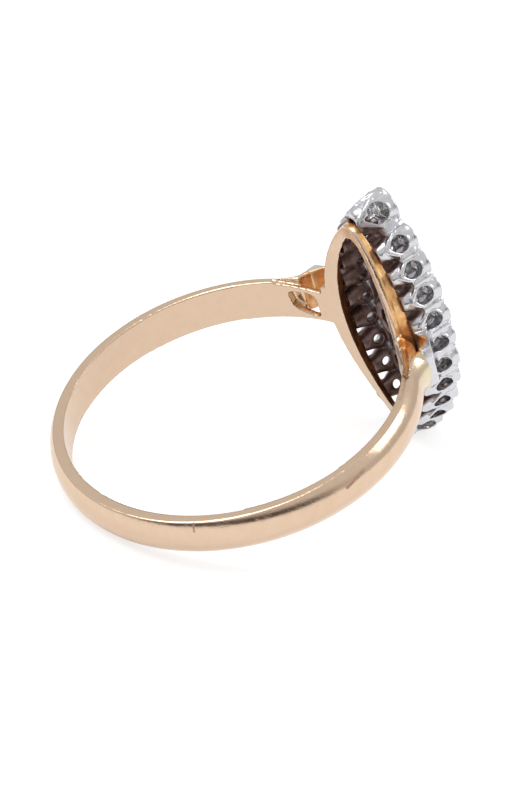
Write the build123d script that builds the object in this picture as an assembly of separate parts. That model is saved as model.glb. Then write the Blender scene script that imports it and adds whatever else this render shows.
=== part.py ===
from build123d import *
import math
import os

# A navette ring in rose gold and platinum, in millimetres.
# It is drawn upright first: X runs from the middle of the finger out through the head,
# Y runs across the finger and Z runs along the finger.
# At the end the whole ring is laid on its side, the way it rests on a table.

# Finger hole and band. The section of the band is a D with its flat side to the finger.
FINGER_RADIUS = 8.5
BAND_THICKNESS = 0.86
BAND_HALF_WIDTH_BACK = 0.92
BAND_HALF_WIDTH_HEAD = 1.15
CROWN_ARC_RADIUS = 1.5
HEAD_PLANE = 8.92
SOLDER_GAP = 0.02

# Side of the blocks that cut away a whole region, lap between bodies that are fused, and the turn
# that brings the seam of the finger hole to a place where nothing else meets it
CLEAR = 40.0
LAP = 0.3
SEAM_TURN = 100.0

# Shoulder: the strap leaves the circle of the band in a concave sweep and runs on straight
# towards the head, beside the gallery. Its crown then stands this far out from the middle.
STRAP_CROWN = 5.1
STRAP_SWEEP_RADIUS = 2.4
STRAP_DEPTH = 2.2
STRAP_RUN_PAST_HEAD = 1.0
STRAP_END = 8.3

# Close to the head the strap flattens to a ribbon: arc of its section, how far out its crown
# stands, and the radius of the shorter sweep that takes it there
RIBBON_ARC_RADIUS = 3.0
RIBBON_CROWN = 5.15
RIBBON_SWEEP_RADIUS = 0.81

# Open gap between the strap and the strip that lies on the finger: thickness of that strip,
# and the corners of the gap along the inner face of the strap, as height and distance out.
STRIP_THICKNESS = 0.35
GAP_START_ANGLE = 32.0
GAP_CORNERS = ((7.8, 4.72), (STRAP_END, 4.6), (STRAP_END, 6.0), (9.2, 6.0), (9.2, 3.3))
GAP_END_ANGLE = 23.0

# Window in the strip on the finger side, as angle from the head and place along the finger, and
# how deep it goes into the metal
STRIP_WINDOW = (
    (36.0, 0.40),
    (34.5, 0.57),
    (27.8, 0.52),
    (25.7, 0.30),
    (25.2, -0.90),
    (27.5, -0.90),
    (32.6, -0.62),
    (35.0, -0.30),
)
STRIP_WINDOW_CORNER = 0.1
STRIP_WINDOW_DEPTH = 0.45

# The upper edge of the strip leans in towards the rail: height where the lean starts, its place
# along the finger there, its slope, and how far out it stops
STRIP_LEAN_START = 6.51
STRIP_LEAN_EDGE = 1.06
STRIP_LEAN = 0.277
STRIP_LEAN_END = 3.3

# Gold base rail and gallery wall: half length, half width and tip radius of each pointed oval
RAIL_OUTER = (6.5, 3.12, 0.95)
RAIL_INNER = (5.82, 2.45, 0.6)
WALL_TOP_OUTER = (6.6, 3.16, 0.95)
WALL_TOP_INNER = (6.28, 2.84, 0.7)
GALLERY_FOOT = 7.2

# Outer row of collets: nine on each side along an arc, and a larger one at each tip
SIDE_COLLETS = 9
SIDE_ARC_RADIUS = 9.3
SIDE_HALF_WIDTH = 2.97
SIDE_PITCH = 1.36
TIP_PLACE = 6.4
COLLET_FOOT_SHARE = 0.58
COLLET_SHOULDER = 9.75
COLLET_RIM = 10.87
COLLET_WALL = 0.17
SIDE_STONE_RADIUS = 0.52
TIP_STONE_RADIUS = 0.78
DOME_DROP = 0.15

# The hand-made top sits a little off the middle of the shank, and leans up towards its upper tip
HEAD_SHIFT_ACROSS = -0.12
HEAD_SHIFT_ALONG = -0.14
HEAD_LEAN = 0.03

# Seats of the outer row
OUTER_GIRDLE = 10.6
SEAT_CLEARANCE = 0.03
BORE_SHARE = 0.5
SEAT_ANGLE = 43.0
SEAT_RUN_ABOVE = 2.0
SEAT_RUN_BELOW = 0.5

# Window in the outer side of each outer collet, and the round one on its inner side. The tip
# collets have two outer windows, turned this far to each side.
WINDOW_MIDDLE = 9.94
WINDOW_SHARE = 0.95
WINDOW_POINT = 0.15
WINDOW_FLANK_ANGLE = 35.0
INNER_WINDOW_MIDDLE = 9.72
INNER_WINDOW_SHARE = 0.45
INNER_WINDOW_REACH = 1.2
TIP_WINDOW_TURN = 58.0
TIP_WINDOW_SHARE = 0.78
TIP_WINDOW_MIDDLE = 9.84

# Claws between the outer collets and grains on their inner side
CLAW_RADIUS = 0.17
CLAW_OUT = 0.47
TIP_CLAW_OUT = 0.25
CLAW_FOOT = 9.7
CLAW_TIP = 10.92
GRAIN_RADIUS = 0.19
GRAIN_IN = 0.44
GRAIN_ROOT = 0.1
POST_SHOULDER_WIDTH = 0.7
POST_SHOULDER_DROP = 0.3

# Middle row, one row of numbers for each stone: place along the finger, stone radius
CENTRE_STONES = (
    (-4.54, 0.60),
    (-2.78, 0.95),
    (0.0, 1.42),
    (2.78, 0.95),
    (4.54, 0.60),
)
CENTRE_WALL = 0.17
CENTRE_GIRDLE_LIFT = 0.12
CENTRE_FOOT = 9.35
CENTRE_FOOT_SHARE = 0.62
CENTRE_BORE_SHARE = 0.42

# Pierced plate under the stones
PLATE_BOTTOM = 10.1
PLATE_TOP = 10.38
PLATE_OUTLINE = (6.6, 2.95, 0.6)
PLATE_LAP = 0.05

# Platinum cap on each shoulder: outline across the finger, from the solder face to the collets
CAP_OUTLINE = (
    (8.94, 3.0),
    (8.94, 4.3),
    (8.32, 4.62),
    (8.32, 5.6),
    (8.55, 5.3),
    (8.85, 4.75),
    (9.2, 4.1),
    (9.75, 3.5),
    (9.75, 3.0),
)

# Cut of the stones: sides of the small and of the larger ones, number of main facets, and the
# shares of the radius and the slopes of the facets in degrees
SINGLE_CUT_SIDES = 8
OLD_CUT_SIDES = 16
MAIN_FACETS = 8
TABLE_SHARE = 0.56
CROWN_ANGLE = 33.0
PAVILION_ANGLE = 41.0
GIRDLE_SHARE = 0.05
CULET_SHARE = 0.06
STAR_ANGLE = 19.0
UPPER_GIRDLE_ANGLE = 39.0
LOWER_GIRDLE_ANGLE = 43.0

# The ring rests on the outer edge of the back of its band and on the lower tip of its head.
BACK_EDGE = FINGER_RADIUS + BAND_THICKNESS - CROWN_ARC_RADIUS + math.sqrt(
    CROWN_ARC_RADIUS ** 2 - BAND_HALF_WIDTH_BACK ** 2)
TIP_REACH = TIP_PLACE - HEAD_SHIFT_ALONG + TIP_STONE_RADIUS + SEAT_CLEARANCE + COLLET_WALL
REST_TILT = math.degrees(math.atan2(TIP_REACH - BAND_HALF_WIDTH_BACK, COLLET_SHOULDER + BACK_EDGE))


def head_plane(x):
    """A plane across the head at height x, with its own x across the finger and y along it."""
    return Plane(origin=(x, 0, 0), x_dir=(0, 1, 0), z_dir=(1, 0, 0))


def pointed_oval(half_length, half_width, tip_radius=0.0):
    """A navette outline of two arcs, with its tips rounded where tip_radius is given."""
    right = ThreePointArc((0, -half_length), (half_width, 0), (0, half_length))
    left = ThreePointArc((0, half_length), (-half_width, 0), (0, -half_length))
    face = make_face([right, left])
    if tip_radius:
        face = fillet(face.vertices(), tip_radius)
    return face


def crown_drop(arc_radius):
    """How much lower the edges of a section are than its crown."""
    return arc_radius - math.sqrt(arc_radius ** 2 - BAND_HALF_WIDTH_HEAD ** 2)


def crown_profile(crown, towards, depth, arc_radius=CROWN_ARC_RADIUS):
    """The D section with its crown at distance crown from the axis, reaching depth behind it.

    towards is 1 where the crown faces away from the axis and -1 where it faces the axis.
    """
    drop = crown_drop(arc_radius)
    edge = crown - towards * drop
    back = crown - towards * depth
    half = BAND_HALF_WIDTH_HEAD
    return make_face([
        Line((back, -half), (back, half)),
        Line((back, half), (edge, half)),
        ThreePointArc((edge, half), (crown, 0), (edge, -half)),
        Line((edge, -half), (back, -half)),
    ])


def beyond(x):
    """A block that fills everything beyond height x."""
    return Pos(x + CLEAR / 2, 0, 0) * Box(CLEAR, CLEAR, CLEAR)


def concave_run(crown, sweep_radius, leave_radius, arc_radius):
    """A run that leaves a circle of the band in a concave sweep and goes on straight past the head.

    crown is how far out its crown stands at the end, and leave_radius is the circle that it leaves.
    """
    reach = leave_radius + sweep_radius
    out = crown + sweep_radius
    height = math.sqrt(reach ** 2 - out ** 2)
    leave = math.asin(out / reach)
    start = Plane(origin=(height, out, 0), x_dir=(-math.cos(leave), -math.sin(leave), 0),
                  z_dir=(math.sin(leave), -math.cos(leave), 0))
    profile = start * crown_profile(sweep_radius, -1, STRAP_DEPTH, arc_radius)
    sweep = revolve(profile, Axis((height, out, 0), (0, 0, 1)), 90 - math.degrees(leave))
    straight = extrude(head_plane(height) * crown_profile(crown, 1, STRAP_DEPTH, arc_radius),
                       amount=HEAD_PLANE + STRAP_RUN_PAST_HEAD - height)
    return sweep + straight


def strap_run():
    """The full run of a shoulder's strap: the crowned run and the ribbon that takes over from it."""
    band_crown = FINGER_RADIUS + BAND_THICKNESS
    ribbon_leaves = band_crown - crown_drop(CROWN_ARC_RADIUS) + crown_drop(RIBBON_ARC_RADIUS)
    crowned = concave_run(STRAP_CROWN, STRAP_SWEEP_RADIUS, band_crown, CROWN_ARC_RADIUS)
    ribbon = concave_run(RIBBON_CROWN, RIBBON_SWEEP_RADIUS, ribbon_leaves, RIBBON_ARC_RADIUS)
    return crowned + ribbon


def on_side(piece, side):
    """The piece as drawn on side 1, or its mirror image on side -1."""
    return piece if side > 0 else mirror(piece, about=Plane.XZ)


def shoulder_gap(side):
    """The open gap between the strap of a shoulder and the strip that lies on the finger."""
    strip = FINGER_RADIUS + STRIP_THICKNESS
    angles = [GAP_END_ANGLE, (GAP_END_ANGLE + GAP_START_ANGLE) / 2, GAP_START_ANGLE]
    arc_points = [(strip * math.cos(math.radians(t)), strip * math.sin(math.radians(t))) for t in angles]
    outline = [ThreePointArc(*arc_points), Polyline(arc_points[-1], *GAP_CORNERS, arc_points[0])]
    gap = extrude(make_face(outline), amount=2 * BAND_HALF_WIDTH_HEAD, both=True)
    return on_side(gap, side)


def shoulder_window(side):
    """The window in the strip of a shoulder, seen from the finger side."""
    angles = [angle for angle, along in STRIP_WINDOW]
    middle = math.radians((min(angles) + max(angles)) / 2)
    inside = FINGER_RADIUS - STRIP_WINDOW_DEPTH
    place = Plane(origin=(inside * math.cos(middle), inside * math.sin(middle), 0),
                  x_dir=(-math.sin(middle), math.cos(middle), 0),
                  z_dir=(math.cos(middle), math.sin(middle), 0))
    corners = [(FINGER_RADIUS * (math.radians(angle) - middle), along) for angle, along in STRIP_WINDOW]
    face = fillet(make_face(Polyline(*corners, close=True)).vertices(), STRIP_WINDOW_CORNER)
    return on_side(extrude(place * face, amount=2 * STRIP_WINDOW_DEPTH), side)


def strip_trim(side):
    """The wedge that narrows the upper edge of the strip towards the rail."""
    end = FINGER_RADIUS + STRIP_THICKNESS
    low = STRIP_LEAN_EDGE - STRIP_LEAN * (end - STRIP_LEAN_START)
    high = 2 * BAND_HALF_WIDTH_HEAD
    corners = [
        (STRIP_LEAN_START, STRIP_LEAN_EDGE),
        (end, low),
        (end, high),
        (STRIP_LEAN_START, high),
    ]
    wedge = extrude(Plane.XZ * make_face(Polyline(*corners, close=True)), amount=-end)
    stop = Plane(origin=(0, STRIP_LEAN_END, 0), z_dir=(0, 1, 0))
    wedge = split(wedge, bisect_by=stop, keep=Keep.TOP)
    return on_side(wedge & Rot(0, 0, SEAM_TURN) * Cylinder(end, CLEAR), side)


def flared_oval(low, top):
    """A solid that flares from the oval low at the finger to the oval top at the head plane."""
    share = (HEAD_PLANE - FINGER_RADIUS) / (FINGER_RADIUS - GALLERY_FOOT)
    foot = [b - (t - b) / share for b, t in zip(low[:2], top[:2])]
    return loft([
        head_plane(GALLERY_FOOT) * pointed_oval(*foot, low[2]),
        head_plane(HEAD_PLANE) * pointed_oval(*top),
    ], ruled=True)


def make_shank():
    """The gold band, shoulders, rail and gallery wall as one soldered solid."""
    outer = flared_oval(RAIL_OUTER, WALL_TOP_OUTER)
    inner = flared_oval(RAIL_INNER, WALL_TOP_INNER)
    band = revolve(Plane.XZ * crown_profile(FINGER_RADIUS + BAND_THICKNESS, 1, BAND_THICKNESS + LAP), Axis.Z)
    strap = strap_run() - beyond(STRAP_END)
    band = band + strap + on_side(strap, -1)
    slope = (BAND_HALF_WIDTH_HEAD - BAND_HALF_WIDTH_BACK) / (2 * FINGER_RADIUS)
    middle = (BAND_HALF_WIDTH_HEAD + BAND_HALF_WIDTH_BACK) / 2
    for up in (1, -1):
        flank = Plane(origin=(0, 0, up * middle), z_dir=(-slope, 0, up))
        band = split(band, bisect_by=flank, keep=Keep.BOTTOM)
    band = band - shoulder_gap(1) - shoulder_gap(-1)
    finger = Rot(0, 0, SEAM_TURN) * Cylinder(FINGER_RADIUS, CLEAR)
    gold = band + outer - beyond(HEAD_PLANE) - inner - finger
    for side in (1, -1):
        gold = gold - shoulder_window(side) - strip_trim(side)
    return gold


def head_drop(along):
    """How far the top of the head has dropped at a place along the finger, by its dome and lean."""
    return DOME_DROP * (along / TIP_PLACE) ** 2 - HEAD_LEAN * along


def outer_row():
    """Place and outward direction, across and along the finger, and stone radius of each collet."""
    row = []
    for side in (1, -1):
        tip = (HEAD_SHIFT_ACROSS, HEAD_SHIFT_ALONG - side * TIP_PLACE)
        row.append((tip, (0.0, -side), TIP_STONE_RADIUS))
        for number in range(SIDE_COLLETS):
            turn = side * (number - (SIDE_COLLETS - 1) / 2) * SIDE_PITCH / SIDE_ARC_RADIUS
            across = side * (SIDE_HALF_WIDTH - SIDE_ARC_RADIUS * (1 - math.cos(turn)))
            along = SIDE_ARC_RADIUS * math.sin(turn)
            place = (HEAD_SHIFT_ACROSS + across, HEAD_SHIFT_ALONG + along)
            row.append((place, (side * math.cos(turn), math.sin(turn)), SIDE_STONE_RADIUS))
    return row


def collet_radius(stone_radius):
    """Outer radius of a collet of the outer row."""
    return stone_radius + SEAT_CLEARANCE + COLLET_WALL


def turned(outline, place):
    """A body turned about the axis of a collet, from an outline of radius and height on the head."""
    body = revolve(Plane.XZ * make_face(Polyline(*outline, close=True)), Axis.Z)
    return head_plane(0) * Pos(place[0], place[1], 0) * body


def collet(place, stone_radius):
    """One outer collet: a tapered cup with a straight rim."""
    foot = HEAD_PLANE + SOLDER_GAP
    radius = collet_radius(stone_radius)
    rim = COLLET_RIM - head_drop(place[1])
    return turned([
        (0, foot),
        (radius * COLLET_FOOT_SHARE, foot),
        (radius, COLLET_SHOULDER),
        (radius, rim),
        (0, rim),
    ], place)


def seat(place, stone_radius, girdle, bore_radius, foot):
    """The cut for a stone: a recess over the girdle, a conical seat and a bore below it."""
    clear = stone_radius + SEAT_CLEARANCE
    seat_top = girdle - SEAT_CLEARANCE
    seat_bottom = seat_top - (clear - bore_radius) * math.tan(math.radians(SEAT_ANGLE))
    return turned([
        (0, foot - SEAT_RUN_BELOW),
        (bore_radius, foot - SEAT_RUN_BELOW),
        (bore_radius, seat_bottom),
        (clear, seat_top),
        (clear, girdle + SEAT_RUN_ABOVE),
        (0, girdle + SEAT_RUN_ABOVE),
    ], place)


def facing(place, outward, turn=0.0):
    """An upright plane in the axis of a collet that faces outward, turned by turn degrees."""
    angle = math.atan2(outward[1], outward[0]) + math.radians(turn)
    return Plane(origin=(0, place[0], place[1]), x_dir=(0, -math.sin(angle), math.cos(angle)),
                 z_dir=(0, math.cos(angle), math.sin(angle)))


def windows(place, outward, stone_radius):
    """The pear shaped windows in the outer side of a collet, and the round one on its inner side."""
    drop = head_drop(place[1])
    at_tip = stone_radius == TIP_STONE_RADIUS
    middle = (TIP_WINDOW_MIDDLE if at_tip else WINDOW_MIDDLE) - drop
    radius = stone_radius * (TIP_WINDOW_SHARE if at_tip else WINDOW_SHARE)
    flank = radius * math.cos(math.radians(WINDOW_FLANK_ANGLE))
    flank_height = middle - radius * math.sin(math.radians(WINDOW_FLANK_ANGLE))
    pear = make_face([
        ThreePointArc((-flank, flank_height), (0, middle + radius), (flank, flank_height)),
        Polyline((flank, flank_height), (0, middle - radius - WINDOW_POINT), (-flank, flank_height)),
    ])
    turns = (-TIP_WINDOW_TURN, TIP_WINDOW_TURN) if at_tip else (0.0,)
    reach = INNER_WINDOW_REACH * collet_radius(stone_radius)
    cuts = [extrude(facing(place, outward, turn) * pear, amount=reach) for turn in turns]
    round_hole = Pos(0, INNER_WINDOW_MIDDLE - drop) * Circle(INNER_WINDOW_SHARE * stone_radius)
    cuts.append(extrude(facing(place, outward) * round_hole, amount=-reach))
    return cuts


def post(radius, low, high, place):
    """A round post on the head at a place, with a domed end."""
    shoulder = (radius * POST_SHOULDER_WIDTH, high - radius * POST_SHOULDER_DROP)
    return turned([(0, low), (radius, low), (radius, high - radius), shoulder, (0, high)], place)


def claws(row):
    """The claws in the outer notches between collets, and the grains in the inner notches."""
    posts = []
    for number, (place, outward, radius) in enumerate(row):
        other, other_out, other_radius = row[(number + 1) % len(row)]
        share = radius / (radius + other_radius)
        middle = tuple(here + share * (there - here) for here, there in zip(place, other))
        out = (outward[0] + other_out[0], outward[1] + other_out[1])
        size = math.hypot(*out)
        out = (out[0] / size, out[1] / size)
        drop = head_drop(middle[1])
        reach = CLAW_OUT if radius == other_radius else TIP_CLAW_OUT
        claw = (middle[0] + reach * out[0], middle[1] + reach * out[1])
        posts.append(post(CLAW_RADIUS, CLAW_FOOT, CLAW_TIP - drop, claw))
        grain = (middle[0] - GRAIN_IN * out[0], middle[1] - GRAIN_IN * out[1])
        posts.append(post(GRAIN_RADIUS, PLATE_BOTTOM + GRAIN_ROOT, CLAW_TIP - drop, grain))
    return posts


def centre_collet(place, stone_radius):
    """One collet of the middle row, a tapered cup."""
    wall_radius = stone_radius + SEAT_CLEARANCE + CENTRE_WALL
    rim = centre_girdle(place[1], stone_radius) + CENTRE_GIRDLE_LIFT
    return turned([
        (0, CENTRE_FOOT),
        (wall_radius * CENTRE_FOOT_SHARE, CENTRE_FOOT),
        (wall_radius, PLATE_BOTTOM - PLATE_LAP),
        (wall_radius, rim),
        (0, rim),
    ], place)


def centre_girdle(along, stone_radius):
    """Height of the girdle of a stone in the middle row."""
    return COLLET_RIM - head_drop(along) + CENTRE_GIRDLE_LIFT * stone_radius


def middle_row():
    """Place and stone radius of each collet of the middle row."""
    return [((HEAD_SHIFT_ACROSS, HEAD_SHIFT_ALONG + along), radius) for along, radius in CENTRE_STONES]


def shoulder_cap(side):
    """The platinum cap that runs from the collets down onto the end of a shoulder."""
    slab = extrude(make_face(Polyline(*CAP_OUTLINE, close=True)), amount=BAND_HALF_WIDTH_HEAD, both=True)
    return on_side(slab & strap_run(), side)


def make_top(row):
    """The platinum top: collets, plate, claws, grains and shoulder caps as one soldered solid."""
    solids = []
    cuts = []
    for place, outward, stone_radius in row:
        solids.append(collet(place, stone_radius))
        girdle = OUTER_GIRDLE - head_drop(place[1])
        cuts.append(seat(place, stone_radius, girdle, BORE_SHARE * stone_radius, HEAD_PLANE))
        cuts += windows(place, outward, stone_radius)
    for place, stone_radius in middle_row():
        solids.append(centre_collet(place, stone_radius))
        girdle = centre_girdle(place[1], stone_radius)
        cuts.append(seat(place, stone_radius, girdle, stone_radius * CENTRE_BORE_SHARE, CENTRE_FOOT))
    outline = Pos(HEAD_SHIFT_ACROSS, HEAD_SHIFT_ALONG) * pointed_oval(*PLATE_OUTLINE)
    plate = extrude(head_plane(PLATE_BOTTOM) * outline, amount=PLATE_TOP - PLATE_BOTTOM)
    caps = [shoulder_cap(side) for side in (1, -1)]
    return plate.fuse(*solids, *caps).cut(*cuts).fuse(*claws(row))


def facet_plane(angle_round, slope, radius, height):
    """A facet's plane that passes through a point at radius and height, leaning by slope degrees."""
    turn = math.radians(angle_round)
    lean = math.radians(slope)
    out = (math.cos(turn), math.sin(turn))
    normal = (math.sin(lean) * out[0], math.sin(lean) * out[1], math.cos(lean))
    return Plane(origin=(radius * out[0], radius * out[1], height), z_dir=normal)


def cut_facets(stone, count, slope, radius, height, start=0.0, upward=1):
    """Grind count flat facets onto a stone, all at one slope, above or below its girdle."""
    for number in range(count):
        plane = facet_plane(start + 360 * number / count, slope, radius, height)
        if upward < 0:
            origin = plane.origin
            normal = plane.z_dir
            plane = Plane(origin=(origin.X, origin.Y, -height), z_dir=(normal.X, normal.Y, -normal.Z))
        stone = split(stone, bisect_by=plane, keep=Keep.BOTTOM)
    return stone


def rough(radius, sides):
    """The preform of a stone: a prism with its girdle at height 0 and room above and below."""
    return extrude(RegularPolygon(radius, sides, rotation=180 / sides), amount=radius, both=True)


def inner_radius(radius, sides):
    """Distance from the middle of a regular polygon to its sides."""
    return radius * math.cos(math.pi / sides)


def table_height(radius):
    """Height of the table over the middle of the girdle."""
    inner = inner_radius(radius, MAIN_FACETS)
    return GIRDLE_SHARE * radius / 2 + inner * (1 - TABLE_SHARE) * math.tan(math.radians(CROWN_ANGLE))


def table_and_culet(stone, radius):
    """Grind the table flat on top and the small culet below."""
    inner = inner_radius(radius, MAIN_FACETS)
    below = inner * (1 - CULET_SHARE) * math.tan(math.radians(PAVILION_ANGLE))
    depth = GIRDLE_SHARE * radius / 2 + below
    table = Plane(origin=(0, 0, table_height(radius)), z_dir=(0, 0, 1))
    culet = Plane(origin=(0, 0, -depth), z_dir=(0, 0, -1))
    stone = split(stone, bisect_by=table, keep=Keep.BOTTOM)
    return split(stone, bisect_by=culet, keep=Keep.BOTTOM)


def single_cut(radius):
    """A small stone with a table, eight crown facets, eight pavilion facets and a culet."""
    inner = inner_radius(radius, SINGLE_CUT_SIDES)
    half_girdle = GIRDLE_SHARE * radius / 2
    stone = rough(radius, SINGLE_CUT_SIDES)
    stone = cut_facets(stone, MAIN_FACETS, CROWN_ANGLE, inner, half_girdle)
    stone = cut_facets(stone, MAIN_FACETS, PAVILION_ANGLE, inner, half_girdle, upward=-1)
    return table_and_culet(stone, radius)


def old_cut(radius):
    """A larger stone with star, main and girdle facets above and main and girdle facets below."""
    inner = inner_radius(radius, OLD_CUT_SIDES)
    half_girdle = GIRDLE_SHARE * radius / 2
    table_edge = inner_radius(radius, MAIN_FACETS) * TABLE_SHARE
    corner = 180 / OLD_CUT_SIDES
    between = corner + 180 / MAIN_FACETS
    stone = rough(radius, OLD_CUT_SIDES)
    stone = cut_facets(stone, MAIN_FACETS, CROWN_ANGLE, radius, half_girdle, start=corner)
    stone = cut_facets(stone, OLD_CUT_SIDES, UPPER_GIRDLE_ANGLE, inner, half_girdle)
    stone = cut_facets(stone, MAIN_FACETS, STAR_ANGLE, table_edge, table_height(radius), start=between)
    stone = cut_facets(stone, MAIN_FACETS, PAVILION_ANGLE, radius, half_girdle, start=corner, upward=-1)
    stone = cut_facets(stone, OLD_CUT_SIDES, LOWER_GIRDLE_ANGLE, inner, half_girdle, upward=-1)
    return table_and_culet(stone, radius)


def set_stone(stone, place, girdle):
    """A stone stood in its seat on the head."""
    return head_plane(girdle) * Pos(place[0], place[1], 0) * stone


def make_stones(row):
    """All stones, each under its own name."""
    stones = {}
    for number, (place, outward, radius) in enumerate(row, start=1):
        turn = math.degrees(math.atan2(outward[1], outward[0]))
        stone = Rot(0, 0, turn) * single_cut(radius)
        stones[f"outer_stone_{number:02d}"] = set_stone(stone, place, OUTER_GIRDLE - head_drop(place[1]))
    for number, (place, radius) in enumerate(middle_row(), start=1):
        stones[f"centre_stone_{number}"] = set_stone(old_cut(radius), place, centre_girdle(place[1], radius))
    return stones


def lay_down(pieces):
    """Lay the upright ring on its side, centred, with its lowest point at height zero."""
    laid = {name: Rot(0, -REST_TILT, 0) * piece for name, piece in pieces.items()}
    boxes = [piece.bounding_box() for piece in laid.values()]
    middle_x = (min(box.min.X for box in boxes) + max(box.max.X for box in boxes)) / 2
    middle_y = (min(box.min.Y for box in boxes) + max(box.max.Y for box in boxes)) / 2
    floor = min(box.min.Z for box in boxes)
    hole = [round(-value, 4) for value in (middle_x, middle_y, floor)]
    print("finger hole at", hole, "tilted by", round(REST_TILT, 4))
    return {name: Pos(-middle_x, -middle_y, -floor) * piece for name, piece in laid.items()}


def main():
    row = outer_row()
    pieces = {"shank": make_shank(), "navette_top": make_top(row)}
    pieces.update(make_stones(row))
    os.makedirs("parts", exist_ok=True)
    for name, piece in lay_down(pieces).items():
        print(name, len(piece.solids()), round(piece.volume, 3), piece.is_valid)
        export_step(piece, f"parts/{name}.step")


if __name__ == "__main__":
    main()
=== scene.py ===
"""A navette ring in rose gold and platinum, lying on its side.

The ring is modelled in its own upright frame, in millimetres: R runs from the middle of the finger
out through the head, T runs across the finger and F runs along it. RingFrame carries that frame over
to the metres of the scene.
"""

import logging
import math
from dataclasses import dataclass, field
from enum import Enum
from typing import Callable, Iterable, Sequence

import bmesh
import bpy
import numpy as np
from mathutils import Matrix, Vector, noise


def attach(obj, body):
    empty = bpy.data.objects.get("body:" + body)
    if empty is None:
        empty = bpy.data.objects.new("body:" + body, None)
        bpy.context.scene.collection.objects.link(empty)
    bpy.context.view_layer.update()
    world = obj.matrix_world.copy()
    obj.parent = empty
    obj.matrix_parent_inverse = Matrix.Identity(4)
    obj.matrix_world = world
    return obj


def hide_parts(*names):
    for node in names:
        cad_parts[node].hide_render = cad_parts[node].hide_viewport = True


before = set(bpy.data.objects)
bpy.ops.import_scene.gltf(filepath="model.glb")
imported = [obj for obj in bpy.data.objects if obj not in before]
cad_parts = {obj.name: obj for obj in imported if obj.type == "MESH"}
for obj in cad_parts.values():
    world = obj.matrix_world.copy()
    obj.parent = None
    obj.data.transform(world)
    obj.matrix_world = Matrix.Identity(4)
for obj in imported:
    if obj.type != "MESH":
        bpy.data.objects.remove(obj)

LOG = logging.getLogger("navette_ring")
MM = 0.001

Point = tuple[float, float, float]
Colour = tuple[float, float, float, float]
Rule = Callable[[np.ndarray], np.ndarray]
Reach = tuple[float, ...]


def fade(values: np.ndarray, low: float, high: float) -> np.ndarray:
    """Return 0 at low, 1 at high and a smooth step between them."""
    share = np.clip((values - low) / (high - low), 0.0, 1.0)
    return share * share * (3.0 - 2.0 * share)


class Metal(Enum):
    """The two metals of the ring, by the name of their slot."""

    ROSE_GOLD = "rose_gold"
    PLATINUM = "platinum"


@dataclass(frozen=True)
class RingFrame:
    """Where the upright ring frame lies in the scene.

    Attributes:
        centre_mm: Middle of the finger hole in the scene, in millimetres.
        tilt_deg: How far the head is tipped down onto the table.
    """

    centre_mm: Point = (-1.7493, 0.0, 3.8648)
    tilt_deg: float = 19.3493

    def matrix(self) -> Matrix:
        """Return the matrix from ring millimetres to scene metres."""
        tilt = Matrix.Rotation(-math.radians(self.tilt_deg), 4, "Y")
        return Matrix.Scale(MM, 4) @ Matrix.Translation(self.centre_mm) @ tilt

    def direction(self, vector: Sequence[float]) -> Vector:
        """Turn a direction of the ring frame into the scene."""
        return Matrix.Rotation(-math.radians(self.tilt_deg), 3, "Y") @ Vector(vector)

    def lift(self, points: np.ndarray) -> np.ndarray:
        """Lift points that lie under the table onto it.

        Args:
            points: Points as rows of R, T and F.

        Returns:
            The points, none of them under the table.
        """
        tilt = math.radians(self.tilt_deg)
        up = np.array((math.sin(tilt), 0.0, math.cos(tilt)))
        height = points @ up + self.centre_mm[2]
        return points - np.minimum(height, 0.0)[:, None] * up

    def point(self, place: Sequence[float]) -> Vector:
        """Carry a point of the ring frame into the scene."""
        return self.matrix() @ Vector(place)


@dataclass(frozen=True)
class Collet:
    """One collet of the head.

    Attributes:
        across: Place across the finger.
        along: Place along the finger.
        outward: Direction that its window faces, as across and along.
        stone_radius: Radius of the stone it holds.
        at_tip: Whether it is one of the two larger ones at the tips.
    """

    across: float
    along: float
    outward: tuple[float, float]
    stone_radius: float
    at_tip: bool


@dataclass(frozen=True)
class HeadLayout:
    """Sizes of the head that the collets, their windows and their rims share, in millimetres."""

    side_collets: int = 9
    arc_radius: float = 9.3
    half_width: float = 2.97
    pitch: float = 1.36
    tip_place: float = 6.4
    side_stone: float = 0.52
    tip_stone: float = 0.78
    shift: tuple[float, float] = (-0.12, -0.14)
    dome_drop: float = 0.15
    lean: float = 0.03
    rim: float = 10.87
    wall: float = 0.2

    def drop(self, along: float) -> float:
        """Return how far the head has dropped at a place along the finger."""
        return self.dome_drop * (along / self.tip_place) ** 2 - self.lean * along

    def radius(self, collet: Collet) -> float:
        """Return the outer radius of a collet."""
        return collet.stone_radius + self.wall

    def collets(self) -> list[Collet]:
        """Return the outer row, in order round the head."""
        row = []
        for side in (1, -1):
            tip = (self.shift[0], self.shift[1] - side * self.tip_place)
            row.append(Collet(*tip, (0.0, -float(side)), self.tip_stone, True))
            for number in range(self.side_collets):
                turn = side * (number - (self.side_collets - 1) / 2) * self.pitch / self.arc_radius
                across = side * (self.half_width - self.arc_radius * (1 - math.cos(turn)))
                along = self.arc_radius * math.sin(turn)
                outward = (side * math.cos(turn), math.sin(turn))
                row.append(Collet(self.shift[0] + across, self.shift[1] + along, outward,
                                  self.side_stone, False))
        return row


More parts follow.
